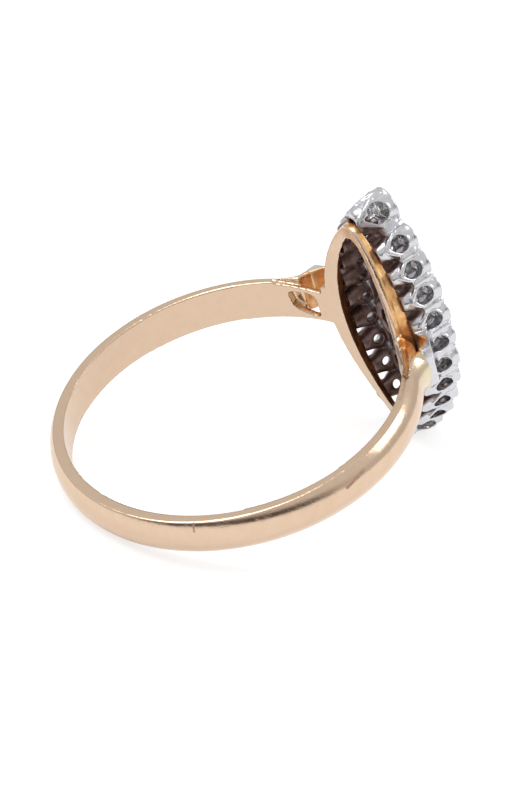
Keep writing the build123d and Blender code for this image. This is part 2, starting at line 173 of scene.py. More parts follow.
class MeshWork:
    """Builds one mesh in ring millimetres out of closed bodies, and welds them into one skin.

    Attributes:
        same_place: Points nearer than this are one.
        ball_rounds: Rounds of splitting that make a bead round.
        smooth_factor: How strongly one round of smoothing pulls.
    """

    same_place = 1e-4
    ball_rounds = 2
    smooth_factor = 0.5

    def __init__(self, name: str) -> None:
        """Start an empty mesh.

        Args:
            name: Name of the piece that it becomes.
        """
        self.name = name
        self.body = bmesh.new()

    def add_node(self, node: bpy.types.Object, ring: RingFrame) -> None:
        """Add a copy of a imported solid.

        Args:
            node: The object of the solid.
            ring: Frame that brings it back to ring millimetres.
        """
        copy = node.data.copy()
        copy.transform(ring.matrix().inverted())
        self.body.from_mesh(copy)
        bpy.data.meshes.remove(copy)
        bmesh.ops.remove_doubles(self.body, verts=self.body.verts, dist=self.same_place)

    def add_tube(self, path: Sequence[Vector], radius: float, closed: bool = False, sides: int = 10) -> None:
        """Add a round wire with domed ends along a path.

        Args:
            path: Points of its middle line.
            radius: Radius of the wire.
            closed: Whether the path is a loop.
            sides: Number of faces round it.
        """
        count = len(path)
        rings = []
        for number, here in enumerate(path):
            before = path[(number - 1) % count] if closed or number else here
            after = path[(number + 1) % count] if closed or number < count - 1 else here
            along = (after - before).normalized()
            side = along.orthogonal() if not rings else rings[-1][1] - along * rings[-1][1].dot(along)
            side.normalize()
            other = along.cross(side)
            verts = [self.body.verts.new(here + radius * (math.cos(a) * side + math.sin(a) * other))
                     for a in (2 * math.pi * k / sides for k in range(sides))]
            rings.append((verts, side))
        pairs = list(zip(rings, rings[1:] + rings[:1])) if closed else list(zip(rings, rings[1:]))
        for (low, _), (high, _) in pairs:
            for k in range(sides):
                beside = (k + 1) % sides
                self.body.faces.new((low[k], low[beside], high[beside], high[k]))
        if not closed:
            self.body.faces.new(list(reversed(rings[0][0])))
            self.body.faces.new(rings[-1][0])
            self.add_ball(path[0], (radius, radius, radius))
            self.add_ball(path[-1], (radius, radius, radius))

    def add_ball(self, place: Sequence[float], radii: Point, turn: Matrix | None = None) -> None:
        """Add a round bead.

        Args:
            place: Its middle.
            radii: Its three radii.
            turn: Rotation of its axes, or none.
        """
        shape = Matrix.Diagonal((*radii, 1.0))
        rotation = turn.to_4x4() if turn else Matrix.Identity(4)
        bmesh.ops.create_icosphere(self.body, subdivisions=self.ball_rounds, radius=1.0,
                                   matrix=Matrix.Translation(place) @ rotation @ shape)

    def weld(self, voxel: float, smooth_rounds: int, faces: int) -> None:
        """Make one closed skin of everything added so far.

        Args:
            voxel: Size of the grid that finds the skin.
            smooth_rounds: Rounds of smoothing after it.
            faces: Most triangles that the skin keeps.
        """
        bmesh.ops.recalc_face_normals(self.body, faces=self.body.faces)
        mesh = bpy.data.meshes.new(self.name)
        self.body.to_mesh(mesh)
        self.body.free()
        work = bpy.data.objects.new(self.name + "_work", mesh)
        bpy.context.scene.collection.objects.link(work)
        remesh = work.modifiers.new("skin", "REMESH")
        remesh.mode = "VOXEL"
        remesh.voxel_size = voxel
        smooth = work.modifiers.new("smooth", "SMOOTH")
        smooth.factor = self.smooth_factor
        smooth.iterations = smooth_rounds
        bpy.context.view_layer.update()
        evaluated = work.evaluated_get(bpy.context.evaluated_depsgraph_get())
        count = 2 * len(evaluated.data.polygons)
        if count > faces:
            thin = work.modifiers.new("thin", "DECIMATE")
            thin.ratio = faces / count
            bpy.context.view_layer.update()
            evaluated = work.evaluated_get(bpy.context.evaluated_depsgraph_get())
        skin = bpy.data.meshes.new_from_object(evaluated)
        bpy.data.objects.remove(work)
        self.body = bmesh.new()
        self.body.from_mesh(skin)
        bpy.data.meshes.remove(skin)
        LOG.info("%s: skin of %d faces", self.name, len(self.body.faces))

    def move(self, rule: Rule) -> None:
        """Move every point by a rule.

        Args:
            rule: Takes the points as rows of R, T and F, and returns where they go.
        """
        places = np.array([v.co for v in self.body.verts], float).reshape(-1, 3)
        for vert, place in zip(self.body.verts, rule(places)):
            vert.co = place

    def roughen(self, size: float, amount: float) -> None:
        """Shift every point a little, the way hand work is never quite even.

        Args:
            size: Length of the waves, in millimetres.
            amount: How far a point goes at most, in millimetres.
        """
        for vert in self.body.verts:
            vert.co += amount * noise.noise_vector(vert.co / size)

    def finish(self, ring: RingFrame) -> bpy.types.Object:
        """Turn the mesh into a scene object that rides with the ring.

        Args:
            ring: Frame that carries it into the scene.

        Returns:
            The object.
        """
        bmesh.ops.recalc_face_normals(self.body, faces=self.body.faces)
        mesh = bpy.data.meshes.new(self.name)
        self.body.to_mesh(mesh)
        self.body.free()
        mesh.transform(ring.matrix())
        mesh.shade_smooth()
        piece = bpy.data.objects.new(self.name, mesh)
        bpy.context.scene.collection.objects.link(piece)
        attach(piece, "root")
        return piece


class NodeDesk:
    """Lays out the nodes of one tree with short calls.

    Attributes:
        colour_inputs: Where a blend of colours takes its share and its two colours.
        colour_output: Where it puts out the colour.
    """

    colour_inputs = (0, 6, 7)
    colour_output = 2

    def __init__(self, tree: bpy.types.NodeTree) -> None:
        """Take the tree to work on.

        Args:
            tree: A material, world or group tree.
        """
        self.tree = tree

    def add(self, kind: str, **settings: object) -> bpy.types.Node:
        """Add a node.

        Args:
            kind: Type name of the node.
            **settings: Its properties by name, and its plain inputs by socket name with spaces as
                underscores and an in_ before them.

        Returns:
            The node.
        """
        node = self.tree.nodes.new(kind)
        for name, value in settings.items():
            if name.startswith("in_"):
                self.socket(node, name[3:].replace("_", " ")).default_value = value
            else:
                setattr(node, name, value)
        return node

    def socket(self, node: bpy.types.Node, name: str) -> bpy.types.NodeSocket:
        """Find an enabled input by name, whatever its capitals."""
        return next(s for s in node.inputs if s.enabled and s.name.lower() == name.lower())

    def link(self, source: bpy.types.NodeSocket, node: bpy.types.Node, name: str) -> None:
        """Join an output to a named input."""
        self.tree.links.new(source, self.socket(node, name))

    def feed(self, target: bpy.types.NodeSocket, value: object) -> None:
        """Join a socket to an input, or set the input to a plain value."""
        if isinstance(value, bpy.types.NodeSocket):
            self.tree.links.new(value, target)
        else:
            target.default_value = value

    def maths(self, operation: str, first: object, second: object = 0.0) -> bpy.types.NodeSocket:
        """Add a sum of two values.

        Args:
            operation: Name of the operation.
            first: A socket or a number.
            second: A socket or a number.

        Returns:
            The result.
        """
        node = self.tree.nodes.new("ShaderNodeMath")
        node.operation = operation
        self.feed(node.inputs[0], first)
        self.feed(node.inputs[1], second)
        return node.outputs[0]

    def blend(self, share: object, first: object, second: object) -> bpy.types.NodeSocket:
        """Blend two colours.

        Args:
            share: A socket or a number for how much of the second shows.
            first: A socket or a colour.
            second: A socket or a colour.

        Returns:
            The colour.
        """
        node = self.tree.nodes.new("ShaderNodeMix")
        node.data_type = "RGBA"
        for place, value in zip(self.colour_inputs, (share, first, second)):
            self.feed(node.inputs[place], value)
        return node.outputs[self.colour_output]

    def stretch(self, value: object, low: float, high: float, to_low: float = 0.0,
                to_high: float = 1.0) -> bpy.types.NodeSocket:
        """Map a range of values onto another, and hold it inside.

        Args:
            value: A socket.
            low: Start of the range.
            high: End of the range.
            to_low: Result at its start.
            to_high: Result at its end.

        Returns:
            The result.
        """
        node = self.tree.nodes.new("ShaderNodeMapRange")
        self.tree.links.new(value, node.inputs["Value"])
        for name, number in (("From Min", low), ("From Max", high), ("To Min", to_low), ("To Max", to_high)):
            node.inputs[name].default_value = number
        return node.outputs[0]


def open_group(name: str, inputs: Iterable[tuple[str, str, object]],
               outputs: Iterable[tuple[str, str]]) -> tuple[NodeDesk, bpy.types.Node, bpy.types.Node]:
    """Open a new shader group with named sockets.

    Args:
        name: Name of the group.
        inputs: Name, socket type and default of each input.
        outputs: Name and socket type of each output.

    Returns:
        A desk on the group, its input node and its output node.
    """
    tree = bpy.data.node_groups.new(name, "ShaderNodeTree")
    for label, kind, default in inputs:
        socket = tree.interface.new_socket(label, in_out="INPUT", socket_type=kind)
        socket.default_value = default
    for label, kind in outputs:
        tree.interface.new_socket(label, in_out="OUTPUT", socket_type=kind)
    desk = NodeDesk(tree)
    return desk, desk.add("NodeGroupInput"), desk.add("NodeGroupOutput")


def open_material(name: str) -> tuple[bpy.types.Material, NodeDesk, bpy.types.Node]:
    """Open a new material.

    Args:
        name: Name of the material.

    Returns:
        The material, a desk on its nodes and its shader.
    """
    made = bpy.data.materials.new(name)
    made.use_nodes = True
    return made, NodeDesk(made.node_tree), made.node_tree.nodes["Principled BSDF"]


def dress(piece: bpy.types.Object, material: bpy.types.Material) -> None:
    """Give a piece its one material."""
    piece.data.materials.clear()
    piece.data.materials.append(material)


@dataclass
class SharedEffects:
    """The shader groups that the materials share, built once.

    Attributes:
        hollow_samples: Number of rays that feel for the walls of a hollow.
        fine_scale: How much finer the small waves of the hand finish are than the slow ones.
        fine_share: How much of the small waves is added to the slow ones.
        mottle_reach: Heights of the small waves between which the mottling grows.
        scratch_runs: Turn and stretch of each set of scratches.
        scratch_width: How wide a scratch is, as a share of the waves that draw it.
        eaten_reach: Spots between which the edge of a layer is eaten away.
        layer_gain: How far the mask of a layer is raised before its edge is eaten.
        layer_fade: Masks between which a layer grows.
        spot_reach: Spots between which a layer turns to its second colour.
        haze_scale: Scale of the clouding of a stone, per metre.
        haze_reach: Values between which the clouding grows.
        haze_roughness: Roughness of a clear and of a clouded facet.
    """

    hollow_samples: int = 8
    fine_scale: float = 3.3
    fine_share: float = 0.2
    mottle_reach: Reach = (0.35, 0.7)
    scratch_runs: tuple[tuple[Point, Point], ...] = (
        ((0.3, 0.9, 0.5), (0.05, 1.0, 1.0)),
        ((1.2, 0.2, 2.1), (1.0, 0.06, 1.0)),
    )
    scratch_width: float = 0.02
    eaten_reach: Reach = (0.3, 0.65)
    layer_gain: float = 1.6
    layer_fade: Reach = (0.0, 0.8)
    spot_reach: Reach = (0.4, 0.62)
    haze_scale: float = 1300.0
    haze_reach: Reach = (0.4, 0.68)
    haze_roughness: Reach = (0.015, 0.12)

    def __post_init__(self) -> None:
        """Build the groups."""
        self.recess = self._recess()
        self.handwork = self._handwork()
        self.scratches = self._scratches()
        self.stain = self._stain()
        self.facet_haze = self._facet_haze()

    def _recess(self) -> bpy.types.NodeTree:
        """Build the mask that is 1 deep in hollows and 0 on open metal, from ambient occlusion; the metals
        paint shade into hollows with it.
        """
        desk, start, end = open_group("hollow_mask", [
            ("Reach", "NodeSocketFloat", 0.8 * MM),
            ("Start", "NodeSocketFloat", 0.75),
            ("Full", "NodeSocketFloat", 0.2),
        ], [("Mask", "NodeSocketFloat")])
        hollow = desk.add("ShaderNodeAmbientOcclusion", samples=self.hollow_samples)
        desk.link(start.outputs["Reach"], hollow, "Distance")
        reach = desk.add("ShaderNodeMapRange", in_To_Min=0.0, in_To_Max=1.0)
        desk.link(hollow.outputs["AO"], reach, "Value")
        desk.link(start.outputs["Start"], reach, "From Min")
        desk.link(start.outputs["Full"], reach, "From Max")
        desk.link(reach.outputs[0], end, "Mask")
        return desk.tree

    def _handwork(self) -> bpy.types.NodeTree:
        """Build the slow waves that files and buffs leave, as a height and a mottled mask."""
        desk, start, end = open_group("hand_finish", [
            ("Vector", "NodeSocketVector", (0.0, 0.0, 0.0)),
            ("Scale", "NodeSocketFloat", 500.0),
        ], [("Height", "NodeSocketFloat"), ("Mottle", "NodeSocketFloat")])
        waves = desk.add("ShaderNodeTexNoise", in_Detail=2.0, in_Roughness=0.45)
        desk.link(start.outputs["Vector"], waves, "Vector")
        desk.link(start.outputs["Scale"], waves, "Scale")
        fine = desk.add("ShaderNodeTexNoise", in_Detail=4.0, in_Roughness=0.6)
        desk.link(start.outputs["Vector"], fine, "Vector")
        desk.link(desk.maths("MULTIPLY", start.outputs["Scale"], self.fine_scale), fine, "Scale")
        added = desk.maths("MULTIPLY", fine.outputs[0], self.fine_share)
        total = desk.maths("ADD", waves.outputs[0], added)
        desk.link(total, end, "Height")
        desk.link(desk.stretch(fine.outputs[0], *self.mottle_reach), end, "Mottle")
        return desk.tree

    def _scratches(self) -> bpy.types.NodeTree:
        """Build thin lines of wear in two directions, as a mask."""
        desk, start, end = open_group("fine_scratches", [
            ("Vector", "NodeSocketVector", (0.0, 0.0, 0.0)),
            ("Scale", "NodeSocketFloat", 900.0),
            ("Amount", "NodeSocketFloat", 0.5),
        ], [("Mask", "NodeSocketFloat")])
        lines = []
        for turn, pull in self.scratch_runs:
            spin = desk.add("ShaderNodeMapping", vector_type="TEXTURE")
            spin.inputs["Rotation"].default_value = turn
            spin.inputs["Scale"].default_value = tuple(1.0 / share for share in pull)
            desk.link(start.outputs["Vector"], spin, "Vector")
            grain = desk.add("ShaderNodeTexNoise", in_Detail=3.0, in_Roughness=0.7)
            desk.link(spin.outputs[0], grain, "Vector")
            desk.link(start.outputs["Scale"], grain, "Scale")
            ridge = desk.maths("ABSOLUTE", desk.maths("SUBTRACT", grain.outputs[0], 0.5))
            lines.append(desk.stretch(ridge, 0.0, self.scratch_width, 1.0, 0.0))
        both = desk.maths("MAXIMUM", *lines)
        desk.link(desk.maths("MULTIPLY", both, start.outputs["Amount"]), end, "Mask")
        return desk.tree

    def _stain(self) -> bpy.types.NodeTree:
        """Build a layer with an uneven edge, as a mask and a spotted colour, for stained metal and for
        painted shade and reflection.
        """
        desk, start, end = open_group("uneven_stain", [
            ("Vector", "NodeSocketVector", (0.0, 0.0, 0.0)),
            ("Mark", "NodeSocketFloat", 0.0),
            ("Scale", "NodeSocketFloat", 1200.0),
            ("Edge", "NodeSocketFloat", 0.5),
            ("Colour", "NodeSocketColor", (0.5, 0.2, 0.1, 1.0)),
            ("Spots", "NodeSocketColor", (0.2, 0.1, 0.05, 1.0)),
        ], [("Mask", "NodeSocketFloat"), ("Colour", "NodeSocketColor")])
        blots = desk.add("ShaderNodeTexNoise", in_Detail=4.0, in_Roughness=0.6)
        desk.link(start.outputs["Vector"], blots, "Vector")
        desk.link(start.outputs["Scale"], blots, "Scale")
        bitten = desk.stretch(blots.outputs[0], *self.eaten_reach, 1.0, 0.0)
        eaten = desk.maths("MULTIPLY", bitten, start.outputs["Edge"])
        raised = desk.maths("MULTIPLY", start.outputs["Mark"], self.layer_gain)
        desk.link(desk.stretch(desk.maths("SUBTRACT", raised, eaten), *self.layer_fade), end, "Mask")
        spotted = desk.blend(desk.stretch(blots.outputs[0], *self.spot_reach), start.outputs["Colour"],
                             start.outputs["Spots"])
        desk.link(spotted, end, "Colour")
        return desk.tree

    def _facet_haze(self) -> bpy.types.NodeTree:
        """Build the uneven clouding of old stones, as a colour and a roughness."""
        desk, start, end = open_group("facet_haze", [
            ("Vector", "NodeSocketVector", (0.0, 0.0, 0.0)),
            ("Clear", "NodeSocketColor", (0.9, 0.9, 0.9, 1.0)),
            ("Cloud", "NodeSocketColor", (0.6, 0.55, 0.5, 1.0)),
        ], [("Colour", "NodeSocketColor"), ("Roughness", "NodeSocketFloat")])
        cells = desk.add("ShaderNodeTexNoise", in_Scale=self.haze_scale, in_Detail=3.0, in_Roughness=0.6)
        desk.link(start.outputs["Vector"], cells, "Vector")
        haze = desk.stretch(cells.outputs[0], *self.haze_reach)
        desk.link(desk.blend(haze, start.outputs["Clear"], start.outputs["Cloud"]), end, "Colour")
        desk.link(desk.stretch(haze, 0.0, 1.0, *self.haze_roughness), end, "Roughness")
        return desk.tree


@dataclass(frozen=True)
class StainAndPaintedLightMap:
    """Shader groups that say where each metal is stained and where shade and reflection are painted on it,
    from the place on the ring.

    Attributes:
        ring: The ring frame.
        layout: Sizes of the head.
        finger_radius: Radius of the finger hole.
        rail: Half length and half width of the base rail.
        cap_start: Height and distance out where the inner face of a shoulder cap begins.
        cap_slope: How much that face leans in.
        nicks: Both ends and half the width of each small scratch on the band.
        nick_core: Share of a scratch's width that is fully dark.
        head_from: Height out where the painted shade and painted reflection of the head begin.
        rail_reach: How far beyond the rail's outline they end.
        outer_from: Where the outer side of the wall begins, from the rail's outline.
        warm_reflection_over: Height over the finger where the painted orange reflection on the wall begins.
        painted_shade_over: Height over the finger where the painted shade inside the wall begins.
        edge_over: Height over the finger of the top of the wall, where shadow under the platinum is painted,
            and how much shows there.
        gap_depth: Distance from the finger's axis where the gap of a shoulder begins.
        gap_side: Distance across where the inner face of the strap ends.
        gap_from: Height out where the painted orange reflection in the gap begins.
        gap_share: Places across from the far to the near shoulder, and how much of the painted orange
            reflection shows there.
        pale_out: Height out where the pale solder of the strap begins.
        pale_side: Distance across where it begins.
        plate_below: Height out below which shade is painted under the plate.
        plate_inside: How far inside the outer row that painted shade begins.
        cup_below: Height out below which shade is painted on the cups.
        cup_inside: How far from the outer row's line that painted shade ends.
        cap_near: How near to the inner face of a cap the solder colour, with painted reflection of the gold,
            lies.
        cap_from: Distance across where the caps begin.
        cap_below: Height out below which that colour lies.
    """

    ring: RingFrame
    layout: HeadLayout
    finger_radius: float = 8.5
    rail: tuple[float, float] = (6.5, 3.12)
    cap_start: tuple[float, float] = (8.32, 4.62)
    cap_slope: float = 0.516
    nicks: tuple[tuple[Point, Point, float], ...] = (
        ((0.154, -9.301, 0.388), (1.298, -9.138, 0.597), 0.13),
        ((-6.647, -6.098, 0.95), (-6.82, -6.257, 0.55), 0.07),
    )
    nick_core: float = 0.3
    head_from: Reach = (5.0, 5.5)
    rail_reach: Reach = (0.4, 0.3)
    outer_from: Reach = (-0.16, -0.08)
    warm_reflection_over: Reach = (0.34, 0.5)
    painted_shade_over: Reach = (0.02, 0.25)
    edge_over: Reach = (0.8, 1.05, 0.0, 0.6)
    gap_depth: Reach = (8.62, 8.75)
    gap_side: Reach = (4.9, 4.75)
    gap_from: Reach = (6.5, 7.0)
    gap_share: Reach = (3.0, -3.0, 0.3, 1.0)
    pale_out: Reach = (7.0, 8.2)
    pale_side: Reach = (4.85, 5.0)
    plate_below: Reach = (10.45, 10.2)
    plate_inside: Reach = (-0.5, -0.75)
    cup_below: Reach = (10.0, 9.5)
    cup_inside: Reach = (0.45, 0.2)
    cap_near: Reach = (0.16, 0.06)
    cap_from: Reach = (3.75, 3.85)
    cap_below: Reach = (9.1, 8.95)

    def _open(self, name: str, outputs: Sequence[str]) -> tuple[NodeDesk, bpy.types.Node, bpy.types.Node]:
        """Open a group that takes a place in the scene and puts out masks.

        Args:
            name: Name of the group.
            outputs: Names of its masks.

        Returns:
            A desk on the group, the node with the place on the ring, and the output node.
        """
        desk, start, end = open_group(name, [("Vector", "NodeSocketVector", (0.0, 0.0, 0.0))],
                                      [(label, "NodeSocketFloat") for label in outputs])
        location, rotation, scale = self.ring.matrix().inverted().decompose()
        place = desk.add("ShaderNodeMapping", in_Location=location, in_Rotation=rotation.to_euler(),
                         in_Scale=scale)
        desk.link(start.outputs["Vector"], place, "Vector")
        return desk, place, end

    @staticmethod
    def _split(desk: NodeDesk, place: bpy.types.Node) -> list[bpy.types.NodeSocket]:
        """Return R, T and F of the place on the ring."""
        parts = desk.add("ShaderNodeSeparateXYZ")
        desk.link(place.outputs[0], parts, "Vector")
        return list(parts.outputs)

    @staticmethod
    def _length(desk: NodeDesk, first: object, second: object) -> bpy.types.NodeSocket:
        """Return the length of the vector of two parts."""
        first_square, second_square = (desk.maths("MULTIPLY", part, part) for part in (first, second))
        return desk.maths("SQRT", desk.maths("ADD", first_square, second_square))

    @staticmethod
    def _where(desk: NodeDesk, *areas: tuple[bpy.types.NodeSocket, Reach]) -> bpy.types.NodeSocket:
        """Return the mask that is full where every value is past its reach.

        Args:
            desk: Desk on the group.
            *areas: A value and the reach over which its mask grows.

        Returns:
            The mask.
        """
        masks = [desk.stretch(value, *reach) for value, reach in areas]
        total = masks[0]
        for mask in masks[1:]:
            total = desk.maths("MULTIPLY", total, mask)
        return total

    def gold(self) -> bpy.types.NodeTree:
        """Build the masks of the gold: painted orange reflection, painted shade, pale solder and the nick."""
        desk, place, end = self._open("gold_marks", ("heat", "painted_shade", "pale", "nick"))
        out, across, along = self._split(desk, place)
        side = desk.maths("ABSOLUTE", across)
        half_length, half_width = self.rail
        radius = (half_length ** 2 + half_width ** 2) / (2 * half_width)
        from_arc = desk.maths("ADD", side, radius - half_width)
        beyond = desk.maths("SUBTRACT", self._length(desk, from_arc, along), radius)
        drop = desk.maths("SUBTRACT", self.finger_radius ** 2, desk.maths("MULTIPLY", across, across))
        over = desk.maths("SUBTRACT", out, desk.maths("SQRT", desk.maths("MAXIMUM", drop, 0.0)))
        on_wall = ((out, self.head_from), (beyond, self.rail_reach))
        outer = (beyond, self.outer_from)
        inner = (beyond, (*self.outer_from, 1.0, 0.0))
        # Painted orange reflection of gold on gold, on the outer side of the gallery wall.
        wall_warm_reflection = self._where(desk, *on_wall, outer, (over, self.warm_reflection_over))
        from_axis = self._length(desk, out, across)
        # Painted orange reflection on the inner face of the shoulder strap, in its gap.
        gap_warm_reflection = self._where(desk, (from_axis, self.gap_depth), (side, self.gap_side), (out, self.gap_from),
                               (across, self.gap_share))
        desk.link(desk.maths("MAXIMUM", wall_warm_reflection, gap_warm_reflection), end, "heat")
        # Painted shade on the inner side of the gallery wall.
        inside = self._where(desk, *on_wall, inner, (over, self.painted_shade_over))
        # Painted shadow along the top of the wall, under the overhanging platinum.
        edge = self._where(desk, *on_wall, outer, (over, self.edge_over))
        desk.link(desk.maths("MAXIMUM", inside, edge), end, "painted_shade")
        desk.link(self._where(desk, (out, self.pale_out), (side, self.pale_side)), end, "pale")
        first, second = (self._nick(desk, place, *nick) for nick in self.nicks)
        desk.link(desk.maths("MAXIMUM", first, second), end, "nick")
        return desk.tree

    def _nick(self, desk: NodeDesk, place: bpy.types.Node, start: Point, finish: Point,
              width: float) -> bpy.types.NodeSocket:
        """Add the mask of a small scratch.

        Args:
            desk: Desk on the group.
            place: Node with the place on the ring.
            start: One end of the scratch.
            finish: Its other end.
            width: Half its width.

        Returns:
            The mask.
        """
        run = Vector(finish) - Vector(start)
        from_start = desk.add("ShaderNodeVectorMath", operation="SUBTRACT")
        desk.tree.links.new(place.outputs[0], from_start.inputs[0])
        from_start.inputs[1].default_value = start
        share = desk.add("ShaderNodeVectorMath", operation="DOT_PRODUCT")
        desk.tree.links.new(from_start.outputs[0], share.inputs[0])
        share.inputs[1].default_value = run / run.length_squared
        nearest = desk.add("ShaderNodeVectorMath", operation="SCALE")
        nearest.inputs[0].default_value = run
        desk.tree.links.new(desk.stretch(share.outputs["Value"], 0.0, 1.0), nearest.inputs["Scale"])
        gap = desk.add("ShaderNodeVectorMath", operation="DISTANCE")
        desk.tree.links.new(from_start.outputs[0], gap.inputs[0])
        desk.tree.links.new(nearest.outputs[0], gap.inputs[1])
        return desk.stretch(gap.outputs["Value"], width, width * self.nick_core)

    def platinum(self) -> bpy.types.NodeTree:
        """Build the masks of the platinum: painted shade inside the head, and solder with painted reflection
        of the gold under the shoulder caps.
        """
        desk, place, end = self._open("platinum_marks", ("painted_shade", "solder"))
        out, across, along = self._split(desk, place)
        layout = self.layout
        side = desk.maths("ABSOLUTE", desk.maths("SUBTRACT", across, layout.shift[0]))
        length = desk.maths("ABSOLUTE", desk.maths("SUBTRACT", along, layout.shift[1]))
        from_arc = desk.maths("ADD", side, layout.arc_radius - layout.half_width)
        beyond_side = desk.maths("SUBTRACT", self._length(desk, from_arc, length), layout.arc_radius)
        beyond_tip = desk.maths("SUBTRACT", length, layout.tip_place)
        beyond = desk.maths("MAXIMUM", beyond_side, beyond_tip)
        # Painted shade under the plate and on the low parts of the cups.
        under_plate = self._where(desk, (out, self.plate_below), (beyond, self.plate_inside))
        low = self._where(desk, (out, self.cup_below), (beyond, self.cup_inside))
        desk.link(desk.maths("MAXIMUM", under_plate, low), end, "painted_shade")
        wide = desk.maths("ABSOLUTE", across)
        slope, (start_out, start_side) = self.cap_slope, self.cap_start
        from_start = desk.maths("SUBTRACT", out, start_out)
        face = desk.maths("SUBTRACT", start_side, desk.maths("MULTIPLY", from_start, slope))
        off_face = desk.maths("SUBTRACT", wide, face)
        # Solder at the foot of the cap, with painted warm reflection of the gold strap on the cap's inner
        # face.
        inner = self._where(desk, (off_face, self.cap_near), (wide, self.cap_from), (out, self.cap_below))
        desk.link(inner, end, "solder")
        return desk.tree

    def group(self, metal: Metal) -> bpy.types.NodeTree:
        """Return the group of a metal."""
        return self.gold() if metal is Metal.ROSE_GOLD else self.platinum()


@dataclass(frozen=True)
class StainAndPaintedLight:
    """One layer of colour on a metal: stained metal, painted shade or painted reflection.

    Attributes:
        mark: Name of the mask that says where it is.
        colour: Its colour.
        spots: Colour that it breaks into.
        scale: Scale of its spots, per metre.
        edge: How far the spots eat into its edge, from 0 to 1.
        roughness: Roughness of the metal under it.
    """

    mark: str
    colour: Colour
    spots: Colour
    scale: float
    edge: float
    roughness: float


@dataclass(frozen=True)
class MetalFinish:
    """How a worn polished metal looks.

    Attributes:
        metal: Which metal it is.
        colour: Colour of the open metal.
        warm: Colour that its mottling drifts to.
        deep: Colour of the painted shade in hollows.
        hollow_shade_share: How much of the painted shade in hollows shows.
        roughness: Roughness of the open metal.
        hollow_roughness: Roughness deep in hollows.
        wave_scale: Scale of the marks of the hand finish, per metre.
        wave_height: Height of those marks, in millimetres.
        scratches: How strongly fine scratches show.
        stains_and_painted_light: Its layers of colour, one over the other: stained metal, painted shade and
            painted reflection.
        mottle_share: How far the mottling drifts to the warm colour.
        mottle_roughness: How much roughness the mottling adds.
        scratch_roughness: How much roughness a scratch adds.
        scratch_depth: Depth of a scratch, as a share of the height of the hand finish.
    """

    metal: Metal
    colour: Colour
    warm: Colour
    deep: Colour
    hollow_shade_share: float
    roughness: float
    hollow_roughness: float
    wave_scale: float
    wave_height: float
    scratches: float
    stains_and_painted_light: tuple[StainAndPaintedLight, ...]
    mottle_share: float = 0.5
    mottle_roughness: float = 0.05
    scratch_roughness: float = 0.12
    scratch_depth: float = 0.08

    def material(self, effects: SharedEffects, marks: StainAndPaintedLightMap) -> bpy.types.Material:
        """Build the material.

        Args:
            effects: The shared shader groups.
            marks: Where the stains are.

        Returns:
            The material.
        """
        made, desk, shader = open_material(self.metal.value + "_worn")
        shader.inputs["Metallic"].default_value = 1.0
        place = desk.add("ShaderNodeTexCoord").outputs["Object"]
        hollow = desk.add("ShaderNodeGroup", node_tree=effects.recess)
        hand = desk.add("ShaderNodeGroup", node_tree=effects.handwork)
        hand.inputs["Scale"].default_value = self.wave_scale
        lines = desk.add("ShaderNodeGroup", node_tree=effects.scratches)
        lines.inputs["Amount"].default_value = self.scratches
        where = desk.add("ShaderNodeGroup", node_tree=marks.group(self.metal))
        for node in (hand, lines, where):
            made.node_tree.links.new(place, node.inputs["Vector"])
        drift = desk.maths("MULTIPLY", hand.outputs["Mottle"], self.mottle_share)
        mottled = desk.blend(drift, self.colour, self.warm)
        # Painted shade: the colour darkens towards the deep colour in hollows.
        share = desk.maths("MULTIPLY", hollow.outputs["Mask"], self.hollow_shade_share)
        colour = desk.blend(share, mottled, self.deep)
        rough = desk.stretch(hollow.outputs["Mask"], 0.0, 1.0, self.roughness, self.hollow_roughness)
        # Layers of stained metal, painted shade and painted reflection, one over the other.
        for stain in self.stains_and_painted_light:
            layer = desk.add("ShaderNodeGroup", node_tree=effects.stain)
            made.node_tree.links.new(place, layer.inputs["Vector"])
            made.node_tree.links.new(where.outputs[stain.mark], layer.inputs["Mark"])
            for name, value in (("Colour", stain.colour), ("Spots", stain.spots), ("Scale", stain.scale),
                                ("Edge", stain.edge)):
                layer.inputs[name].default_value = value
            colour = desk.blend(layer.outputs["Mask"], colour, layer.outputs["Colour"])
            added = desk.maths("MULTIPLY", layer.outputs["Mask"], stain.roughness - self.roughness)
            rough = desk.maths("ADD", rough, added)
        desk.link(colour, shader, "Base Color")
        for mask, share in ((lines.outputs["Mask"], self.scratch_roughness),
                            (hand.outputs["Mottle"], self.mottle_roughness)):
            rough = desk.maths("ADD", rough, desk.maths("MULTIPLY", mask, share))
        desk.link(rough, shader, "Roughness")
        depth = desk.maths("MULTIPLY", lines.outputs["Mask"], self.scratch_depth)
        cut = desk.maths("SUBTRACT", hand.outputs["Height"], depth)
        bump = desk.add("ShaderNodeBump", in_Strength=1.0, in_Distance=self.wave_height * MM)
        desk.link(cut, bump, "Height")
        desk.link(bump.outputs[0], shader, "Normal")
        return made


@dataclass(frozen=True)
class StoneFinish:
    """How the old cut diamonds look.

    Attributes:
        clear: Colour of the clear stone.
        cloud: Colour of its grime and haze.
        ior: How strongly it bends light.
        transmission: How much light goes through it.
    """

    clear: Colour = (0.95, 0.93, 0.92, 1.0)
    cloud: Colour = (0.78, 0.73, 0.71, 1.0)
    ior: float = 2.3
    transmission: float = 0.85

    def material(self, effects: SharedEffects) -> bpy.types.Material:
        """Build the stone's material.

        Args:
            effects: The shared shader groups.

        Returns:
            The material.
        """
        made, desk, shader = open_material("diamond_clear")
        haze = desk.add("ShaderNodeGroup", node_tree=effects.facet_haze)
        made.node_tree.links.new(desk.add("ShaderNodeTexCoord").outputs["Object"], haze.inputs["Vector"])
        haze.inputs["Clear"].default_value = self.clear
        haze.inputs["Cloud"].default_value = self.cloud
        desk.link(haze.outputs["Colour"], shader, "Base Color")
        desk.link(haze.outputs["Roughness"], shader, "Roughness")
        shader.inputs["Metallic"].default_value = 0.0
        shader.inputs["IOR"].default_value = self.ior
        shader.inputs["Transmission Weight"].default_value = self.transmission
        return made


